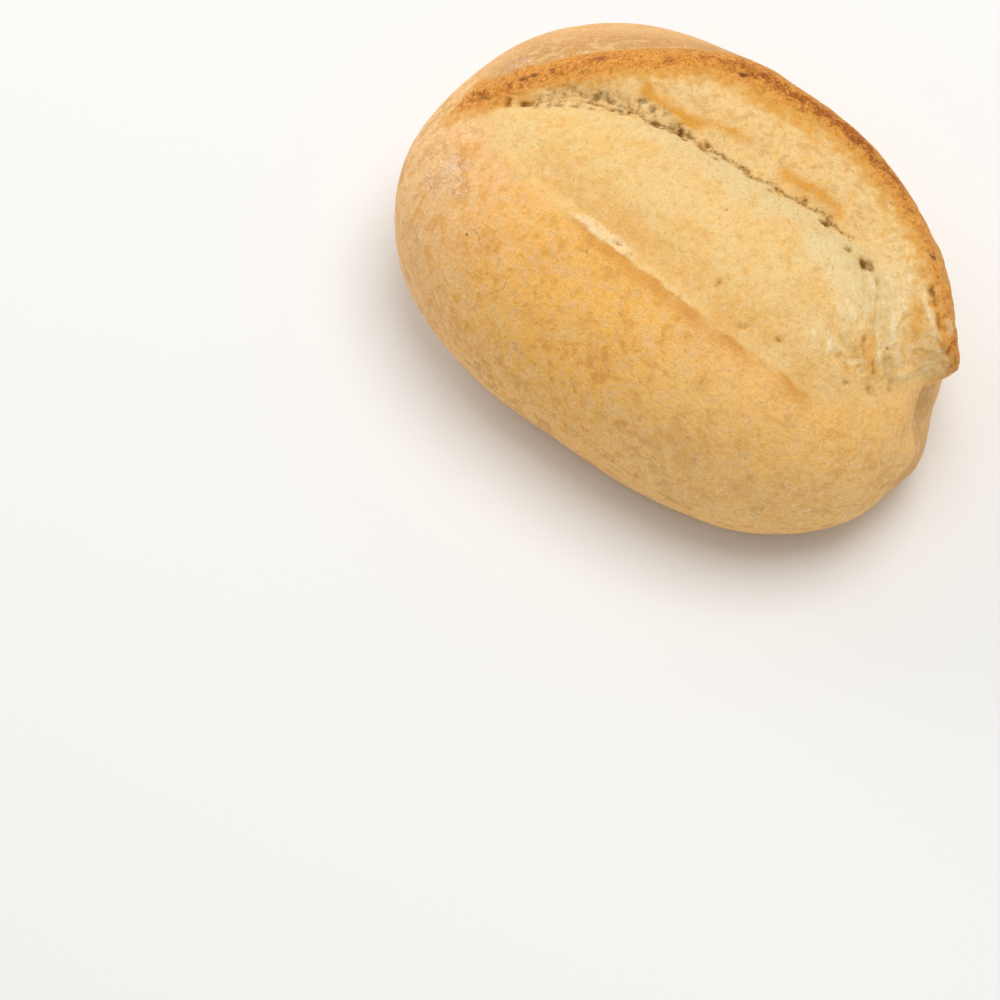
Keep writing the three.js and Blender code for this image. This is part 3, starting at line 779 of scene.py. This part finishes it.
# Colours laid over each other, the crust's gold first: colour, how much, masks
CRUST_GOLD = "#f8bb5a"
LAYERS = [
    # Crust: mottled gold, pinkish and dry at the left end and on the far flank, beige towards the right end
    ("#e6a14c", 0.6, ["amber"]),
    ("#eab77e", 0.8, ["pale_skin"]),
    ("#be8a4c", 0.85, ["far_skin"]),
    ("#d69440", 0.55, ["dark_mottle"]),
    ("#fbcc8c", 0.45, ["pale_mottle"]),
    ("#f2cf90", 0.28, ["dry_end"]),
    # Painted shade: greyer and duller low on the near flank
    ("#f6c276", 0.35, ["low_flank_shade"]),
    ("#fad29c", 0.3, ["wisps"]),
    ("#bc8234", 0.5, ["dry_skin", "dark_blotch"]),
    ("#fcdcaa", 0.7, ["dry_skin", "vein_rising", "vein_falling"]),
    ("#fad6a0", 0.28, ["pale_speck"]),
    ("#cf8c3a", 0.35, ["dark_speck"]),
    # Bloom and lip: cream crumb with golden patches, and specks of both tones
    ("#ebc580", 1.0, ["bloom"]),
    ("#e9b666", 0.6, ["bloom", "gilded"]),
    ("#e4ac5a", 0.55, ["gilded_edge"]),
    ("#ecca94", 0.3, ["lip"]),
    ("#eab458", 0.58, ["lip", "golden_mottle"]),
    ("#c99a50", 0.6, ["lip", "dark_mottle"]),
    ("#f6dcae", 0.7, ["torn_edge"]),
    ("#f6e0aa", 0.5, ["bloom", "pale_crumb"]),
    ("#d9a658", 0.55, ["bloom", "dark_crumb"]),
    ("#cf9a48", 0.3, ["lip", "dark_crumb"]),
    ("#f8e2b2", 0.3, ["bloom", "pale_speck"]),
    ("#cc9e54", 0.4, ["bloom", "dark_speck"]),
    # Crumb that opened last stayed palest, and the crust's edge beside the bloom browned
    ("#dfcb98", 0.6, ["fringe"]),
    ("#a8905c", 0.35, ["fringe", "dark_speck"]),
    ("#eedaa8", 0.5, ["stretched"]),
    ("#f5e4bc", 0.55, ["pale_strands"]),
    ("#d09a48", 0.55, ["dark_strands"]),
    ("#d68e36", 0.8, ["browned_edge"]),
    # Painted shade in the dimples, and under the ear at the rim's left end
    ("#b0904c", 0.5, ["dimpled"]),
    # Rim: golden, orange and red-brown towards the edge, in grains
    ("#d99c42", 0.85, ["golden"]),
    ("#da9424", 0.9, ["toasted"]),
    ("#b46a10", 0.75, ["toasted", "dark_crumb"]),
    ("#d88c2e", 0.85, ["orange"]),
    ("#a04e00", 0.88, ["brown"]),
    ("#f2b658", 0.42, ["orange", "pale_crag"]),
    ("#984c10", 0.45, ["orange", "dark_crag"]),
    ("#f4b258", 0.2, ["orange", "pale_grain"]),
    ("#8c4614", 0.25, ["orange", "dark_grain"]),
    ("#6c2c08", 0.92, ["burnt"]),
    ("#f0d8a8", 0.4, ["ridge"]),
    # Skin that blistered: thin pale creases with painted shade in the hollows between them
    ("#f0c8a0", 0.15, ["blistered"]),
    ("#b87c40", 0.45, ["blistered", "fold_shade"]),
    ("#f8d4ae", 0.7, ["blistered", "fold_rising", "fold_falling"]),
    # Open crumb and holes, and painted shade in the crease and in the pits and pores
    ("#e4ba74", 0.72, ["gap"]),
    ("#7c5e2a", 0.65, ["gap", "dark_mottle"]),
    ("#f0dcae", 0.45, ["gap", "pale_crumb"]),
    ("#705220", 0.6, ["gap", "dark_crumb"]),
    ("#f2e2b8", 0.4, ["gap", "pale_speck"]),
    ("#644818", 0.55, ["open_pores"]),
    # Painted shade: a browner ring round pits and pores
    ("#b8802c", 0.5, ["hollow_rim"]),
    # Painted shade in the crease
    ("#765014", 0.6, ["crease"]),
    # Painted shade: dark cores of pits and pores
    ("#683c00", 0.95, ["hollow"]),
    ("#a8854a", 0.6, ["bloom", "pore"]),
    ("#d5a05c", 0.7, ["base"]),
    ("#a87438", 0.5, ["crack", "unbroken"]),
    ("#5a3c1c", 0.9, ["pinhole"]),
]
CRACK_HALF_WIDTH = 0.1
CRACK_WANDER_MM = 1.4
PINHOLE_RADIUS = 0.35
# Pores of the bloom: size of the cells that each may hold one, widest radius, share of the cells that do
PORE_CELL_MM = 2.1
PORE_RADIUS_MM = 0.4
PORE_SHARE = 0.5
# Grain that darkens and lightens everything a little: its range in the pattern, and by how much
GRAIN_RANGE = (0.3, 0.7)
GRAIN_SHADE = (0.92, 1.08)
# Fine bumps of the surface: their height, how strongly they show, and how high specks, wisps and the folds
# of blisters are beside the grain
BUMP_HEIGHT_MM = 0.25
BUMP_STRENGTH = 0.5
SPECK_BUMPS = 0.8
WISP_BUMPS = 2.0
FOLD_BUMPS = 3.0
# A dry, matt skin of starch
ROUGHNESS = 0.72
IOR = 1.4


def baked_bread():
    """Wheat dough baked until pale: a dry matt skin, golden on the crust and creamy where the dough opened
    late. Thin edges that caught the oven's heat went orange to red-brown. Wisps, specks and pores break up
    every tone."""
    material = bpy.data.materials.new("baked_bread")
    material.use_nodes = True
    tree = material.node_tree
    shader = tree.nodes["Principled BSDF"]
    place = add(tree, "ShaderNodeTexCoord", output="Object")
    place_mm = add(tree, "ShaderNodeVectorMath", {0: place, "Scale": 1 / MM}, operation="SCALE")
    field = {name: add(tree, "ShaderNodeAttribute", output="Fac", attribute_name=name) for name in FIELDS}
    along = add(tree, "ShaderNodeVectorMath", {0: place_mm, 1: STRAND_WAY}, "Value", operation="DOT_PRODUCT")
    squeeze = {0: STRAND_WAY * -STRAND_SQUEEZE, "Scale": along}
    back = add(tree, "ShaderNodeVectorMath", squeeze, operation="SCALE")
    drawn_out = {"strands": add(tree, "ShaderNodeVectorMath", {0: place_mm, 1: back}, operation="ADD")}
    pattern = {}
    for seed, (name, (size, detail, twist)) in enumerate(PATTERNS.items()):
        settings = {"Vector": drawn_out.get(name, place_mm), "W": seed, "Scale": 1 / size, "Detail": detail,
                    "Distortion": twist}
        pattern[name] = add(tree, "ShaderNodeTexNoise", settings, noise_dimensions="4D")
    mask = {"base": field["base"]}
    for name, (source, shift, reach, start, end) in RAGGED_EDGES.items():
        uneven = {0: pattern[shift], 1: reach, 2: field[source]}
        shifted = add(tree, "ShaderNodeMath", uneven, operation="MULTIPLY_ADD")
        edge = {"Value": shifted, "From Min": start + reach / 2, "From Max": end + reach / 2}
        mask[name] = add(tree, "ShaderNodeMapRange", edge, interpolation_type="SMOOTHSTEP")
    for name, (source, start, end) in PARTS.items():
        edge = {"Value": pattern[source], "From Min": start, "From Max": end}
        mask[name] = add(tree, "ShaderNodeMapRange", edge, interpolation_type="SMOOTHSTEP")
    wander = {0: pattern["ragged"], 1: CRACK_WANDER_MM, 2: -CRACK_WANDER_MM / 2}
    off = add(tree, "ShaderNodeMath", wander, operation="MULTIPLY_ADD")
    across = add(tree, "ShaderNodeMath", {0: field["crack_mm"], 1: off}, operation="ADD")
    from_crack = add(tree, "ShaderNodeMath", {0: across}, operation="ABSOLUTE")
    crack = {"Value": from_crack, "From Min": CRACK_HALF_WIDTH, "From Max": CRACK_HALF_WIDTH / 2}
    mask["crack"] = add(tree, "ShaderNodeMapRange", crack, interpolation_type="SMOOTHSTEP")
    ends = {0: place_mm, 1: PINHOLE}
    from_pinhole = add(tree, "ShaderNodeVectorMath", ends, "Value", operation="DISTANCE")
    pinhole = {"Value": from_pinhole, "From Min": PINHOLE_RADIUS, "From Max": PINHOLE_RADIUS / 2}
    mask["pinhole"] = add(tree, "ShaderNodeMapRange", pinhole, interpolation_type="SMOOTHSTEP")
    cells = {"Vector": place_mm, "Scale": 1 / PORE_CELL_MM}
    from_pore = add(tree, "ShaderNodeTexVoronoi", cells, "Distance")
    luck = add(tree, "ShaderNodeSeparateColor", {0: from_pore.node.outputs["Color"]})
    widest = PORE_RADIUS_MM / PORE_CELL_MM
    reach = {"Value": luck, "From Min": 1 - PORE_SHARE, "From Max": 1, "To Min": 0, "To Max": widest}
    pore = {"Value": from_pore, "From Min": add(tree, "ShaderNodeMapRange", reach), "From Max": 0.0}
    mask["pore"] = add(tree, "ShaderNodeMapRange", pore, interpolation_type="SMOOTHSTEP")
    shown = linear(CRUST_GOLD)
    for colour, amount, names in LAYERS:
        share = amount
        for name in names:
            share = add(tree, "ShaderNodeMath", {0: mask[name], 1: share}, operation="MULTIPLY")
        mix = {MIX_SHARE: share, MIX_UNDER: shown, MIX_OVER: linear(colour)}
        shown = add(tree, "ShaderNodeMix", mix, MIX_RESULT, data_type="RGBA")
    lowest, highest = GRAIN_RANGE
    darkest, lightest = GRAIN_SHADE
    shade = {"Value": pattern["grain"], "From Min": lowest, "From Max": highest, "To Min": darkest,
             "To Max": lightest}
    grain = add(tree, "ShaderNodeMapRange", shade)
    grained = add(tree, "ShaderNodeVectorMath", {0: shown, "Scale": grain}, operation="SCALE")
    tree.links.new(grained, shader.inputs["Base Color"])
    fold = mask["blistered"]
    for name in ("fold_rising", "fold_falling"):
        fold = add(tree, "ShaderNodeMath", {0: mask[name], 1: fold}, operation="MULTIPLY")
    rough = pattern["grain"]
    bumpy = [(pattern["speckle"], SPECK_BUMPS), (pattern["wisps"], WISP_BUMPS), (fold, FOLD_BUMPS)]
    for high, weight in bumpy:
        rough = add(tree, "ShaderNodeMath", {0: high, 1: weight, 2: rough}, operation="MULTIPLY_ADD")
    bumps = {"Strength": BUMP_STRENGTH, "Distance": BUMP_HEIGHT_MM * MM, "Height": rough}
    tree.links.new(add(tree, "ShaderNodeBump", bumps), shader.inputs["Normal"])
    shader.inputs["Roughness"].default_value = ROUGHNESS
    shader.inputs["IOR"].default_value = IOR
    return material


# Floor, softboxes and room. Places and sizes are metres, the softboxes' power is watts.
FLOOR_HALF_SIZE = 3.0
PAPER_WHITE = "#eeeeec"
PAPER_ROUGHNESS = 0.9
SOFTBOXES = [
    ("overhead_softbox", (0.06, 0.14, 0.74), 0.5, 3.2),
    ("side_softbox", (-0.66, -0.06, 0.25), 0.5, 1.5),
]
ROOM_LIGHT = 0.52


def make_floor():
    """White paper, uncoated: plain and matt."""
    mesh = bpy.data.meshes.new("floor")
    half = FLOOR_HALF_SIZE
    corners = [(-half, -half, 0), (half, -half, 0), (half, half, 0), (-half, half, 0)]
    mesh.from_pydata(corners, [], [(0, 1, 2, 3)])
    floor = bpy.data.objects.new("floor", mesh)
    material = bpy.data.materials.new("white_paper")
    material.use_nodes = True
    shader = material.node_tree.nodes["Principled BSDF"]
    shader.inputs["Base Color"].default_value = linear(PAPER_WHITE)
    shader.inputs["Roughness"].default_value = PAPER_ROUGHNESS
    mesh.materials.append(material)
    bpy.context.collection.objects.link(floor)


def add_softbox(name, place, size, power):
    lamp = bpy.data.lights.new(name, "AREA")
    lamp.shape = "DISK"
    lamp.size = size
    lamp.energy = power
    light = bpy.data.objects.new(name, lamp)
    light.location = place
    light.rotation_euler = (-Vector(place)).to_track_quat("-Z", "Y").to_euler()
    bpy.context.collection.objects.link(light)


def make_lights():
    world = bpy.data.worlds.new("soft_room")
    world.use_nodes = True
    background = world.node_tree.nodes["Background"]
    background.inputs["Color"].default_value = (1, 1, 1, 1)
    background.inputs["Strength"].default_value = ROOM_LIGHT
    bpy.context.scene.world = world
    for name, place, size, power in SOFTBOXES:
        add_softbox(name, place, size, power)


# Camera: the roll is seen from above its near right end, and the middle of the frame lies below and left of
# it. Places are metres. Pixels count from the top left of a frame that is 1000 wide and high.
FRAME_PX = 1000
SENSOR_MM = 36.0
VIEW_AZIMUTH = math.radians(47.3)
VIEW_ELEVATION = math.radians(58)
VIEW_DISTANCE = 0.55
NEAREST_SEEN = 0.01
VIEW_TARGET = Vector((0, 0, 0.025))
TARGET_PX = (675.5, 263.4)
FOCAL_PX = 3090


def make_camera():
    lens = bpy.data.cameras.new("camera")
    lens.sensor_width = SENSOR_MM
    lens.lens = FOCAL_PX * SENSOR_MM / FRAME_PX
    lens.clip_start = NEAREST_SEEN
    camera = bpy.data.objects.new("camera", lens)
    level = math.cos(VIEW_ELEVATION)
    along = math.cos(VIEW_AZIMUTH)
    across = math.sin(VIEW_AZIMUTH)
    back = Vector((across * level, -along * level, math.sin(VIEW_ELEVATION)))
    right = Vector((along, across, 0))
    square_on = Matrix((right, back.cross(right), back)).transposed()
    off_axis = Vector((TARGET_PX[0] - FRAME_PX / 2, FRAME_PX / 2 - TARGET_PX[1], -FOCAL_PX))
    aside = Vector((0, 0, -1)).rotation_difference(off_axis).to_matrix()
    turn = (square_on @ aside.transposed()).to_4x4()
    camera.matrix_world = Matrix.Translation(VIEW_TARGET + back * VIEW_DISTANCE) @ turn
    bpy.context.collection.objects.link(camera)
    bpy.context.scene.camera = camera


roll = make_roll()
bpy.context.collection.objects.link(roll)
roll.data.materials.append(baked_bread())
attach(roll, "root")
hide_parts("roll")
make_floor()
make_lights()
make_camera()
bpy.context.scene.view_settings.view_transform = "Standard"
